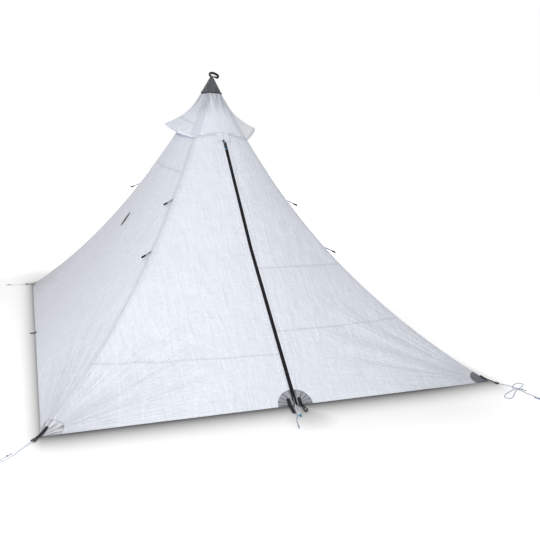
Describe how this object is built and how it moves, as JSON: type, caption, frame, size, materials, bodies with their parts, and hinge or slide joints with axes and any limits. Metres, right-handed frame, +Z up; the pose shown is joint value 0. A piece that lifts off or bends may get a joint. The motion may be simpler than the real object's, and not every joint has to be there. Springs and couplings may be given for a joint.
{
  "type": "pyramid tent",
  "caption": "Floorless pyramid shelter in white laminate on a telescoping centre pole, with a zip door, hooded vents, webbing corner straps and guylines.",
  "frame": {"origin": "on the ground under the peak, at the middle of the pole foot's flat underside", "axes": "+Z up along the pole, -Y towards the short side with the zip door, +X to the right of the door seen from outside"},
  "size_m": [2.4712, 3.3501, 1.5829],
  "materials": {
    "canopy_fabric": "white coated laminate, semi matt, slightly translucent",
    "vent_netting": "fine grey netting",
    "grey_fabric": "dark grey heavy laminate, matt",
    "black_webbing": "black woven webbing and cord, matt",
    "black_plastic": "black moulded plastic, satin",
    "zip_black": "black coated zip tape and coil, satin",
    "grey_metal": "grey die-cast metal, satin",
    "pale_line": "pale blue and white braided cord",
    "pole_carbon": "black carbon tube, satin",
    "foot_rubber": "black rubber, matt"
  },
  "bodies": {
    "canopy": {"back_panel": "canopy_fabric", "corner_patch_back_left": "grey_fabric", "corner_patch_back_right": "grey_fabric", "corner_patch_front_left": "grey_fabric", "corner_patch_front_right": "grey_fabric", "corner_strap_back_left": "black_webbing", "corner_strap_back_right": "black_webbing", "corner_strap_front_left": "black_webbing", "corner_strap_front_right": "black_webbing", "front_strip_left": "canopy_fabric", "front_strip_right": "canopy_fabric", "front_yoke": "canopy_fabric", "guyline_back_left": "pale_line", "guyline_back_right": "pale_line", "guyline_bow": "pale_line", "guyline_front": "pale_line", "guyline_front_left": "pale_line", "guyline_front_right": "pale_line", "hem_tab_back": "black_webbing", "hem_tab_left": "black_webbing", "hem_tab_right": "black_webbing", "left_panel": "canopy_fabric", "line_adjuster_back_left": "black_plastic", "line_adjuster_back_right": "black_plastic", "line_adjuster_front_left": "black_plastic", "line_adjuster_front_right": "black_plastic", "peak_cap": "grey_fabric", "peak_loop": "black_webbing", "pole_clamp": "black_plastic", "pole_seat": "grey_fabric", "pole_upper": "pole_carbon", "right_panel": "canopy_fabric", "tieout_back_left_upper": "black_webbing", "tieout_front_left_lower": "black_webbing", "tieout_front_left_upper": "black_webbing", "tieout_front_right_lower": "black_webbing", "tieout_front_right_upper": "black_webbing", "tieout_left_panel": "black_webbing", "vent_brim_left": "grey_fabric", "vent_brim_right": "grey_fabric", "vent_hood_left": "canopy_fabric", "vent_hood_right": "canopy_fabric", "vent_netting_left": "vent_netting", "vent_netting_right": "vent_netting"},
    "door_left": {"door_left": "canopy_fabric", "zip_band_left": "zip_black", "door_patch_left": "grey_fabric", "door_strap_left": "black_webbing"},
    "door_right": {"door_right": "canopy_fabric", "zip_band_right": "zip_black", "door_patch_right": "grey_fabric", "door_strap_right": "black_webbing"},
    "slider_upper": {"zip_slider_upper": "grey_metal"},
    "slider_lower": {"zip_slider_lower": "grey_metal"},
    "pull_upper": {"zip_pull_upper": "grey_metal"},
    "pull_lower": {"zip_pull_lower": "grey_metal"},
    "hook": {"door_hook": "black_plastic"},
    "pole_leg": {"pole_lower": "pole_carbon", "pole_foot": "foot_rubber"},
    "lever": {"pole_lever": "black_plastic"}
  },
  "joints": [
    {"name": "door_left_fold", "type": "hinge", "parent": "canopy", "child": "door_left", "pos_m": [-0.8, -1.45162, 0.00252], "axis": [-0.4124, -0.6431, -0.6453], "range_deg": [0, 110]},
    {"name": "door_right_fold", "type": "hinge", "parent": "canopy", "child": "door_right", "pos_m": [0.8, -1.45162, 0.00252], "axis": [-0.4124, 0.6431, 0.6453], "range_deg": [0, 110]},
    {"name": "slider_upper_run", "type": "slide", "parent": "door_left", "child": "slider_upper", "axis": [0, -0.6752, -0.7376], "range_m": [0, 0.7]},
    {"name": "pull_upper_swing", "type": "hinge", "parent": "slider_upper", "child": "pull_upper", "pos_m": [-0.0068, -0.2989, 1.16661], "axis": [-1, 0, 0], "range_deg": [0, 150]},
    {"name": "slider_lower_run", "type": "slide", "parent": "door_left", "child": "slider_lower", "axis": [0, 0.732, 0.6813], "range_m": [0, 0.8]},
    {"name": "pull_lower_swing", "type": "hinge", "parent": "slider_lower", "child": "pull_lower", "pos_m": [-0.0068, -1.43444, 0.02732], "axis": [-1, 0, 0], "range_deg": [0, 150]},
    {"name": "hook_swing", "type": "hinge", "parent": "door_right", "child": "hook", "pos_m": [0.022, -1.4924, 0.00504], "axis": [-1, 0, 0], "range_deg": [0, 95]},
    {"name": "pole_slide", "type": "slide", "parent": "canopy", "child": "pole_leg", "axis": [0, 0, 1], "range_m": [0, 0.55]},
    {"name": "lever_swing", "type": "hinge", "parent": "canopy", "child": "lever", "pos_m": [0.0193, 0, 0.6583], "axis": [0, 0, -1], "range_deg": [0, 110]}
  ]
}
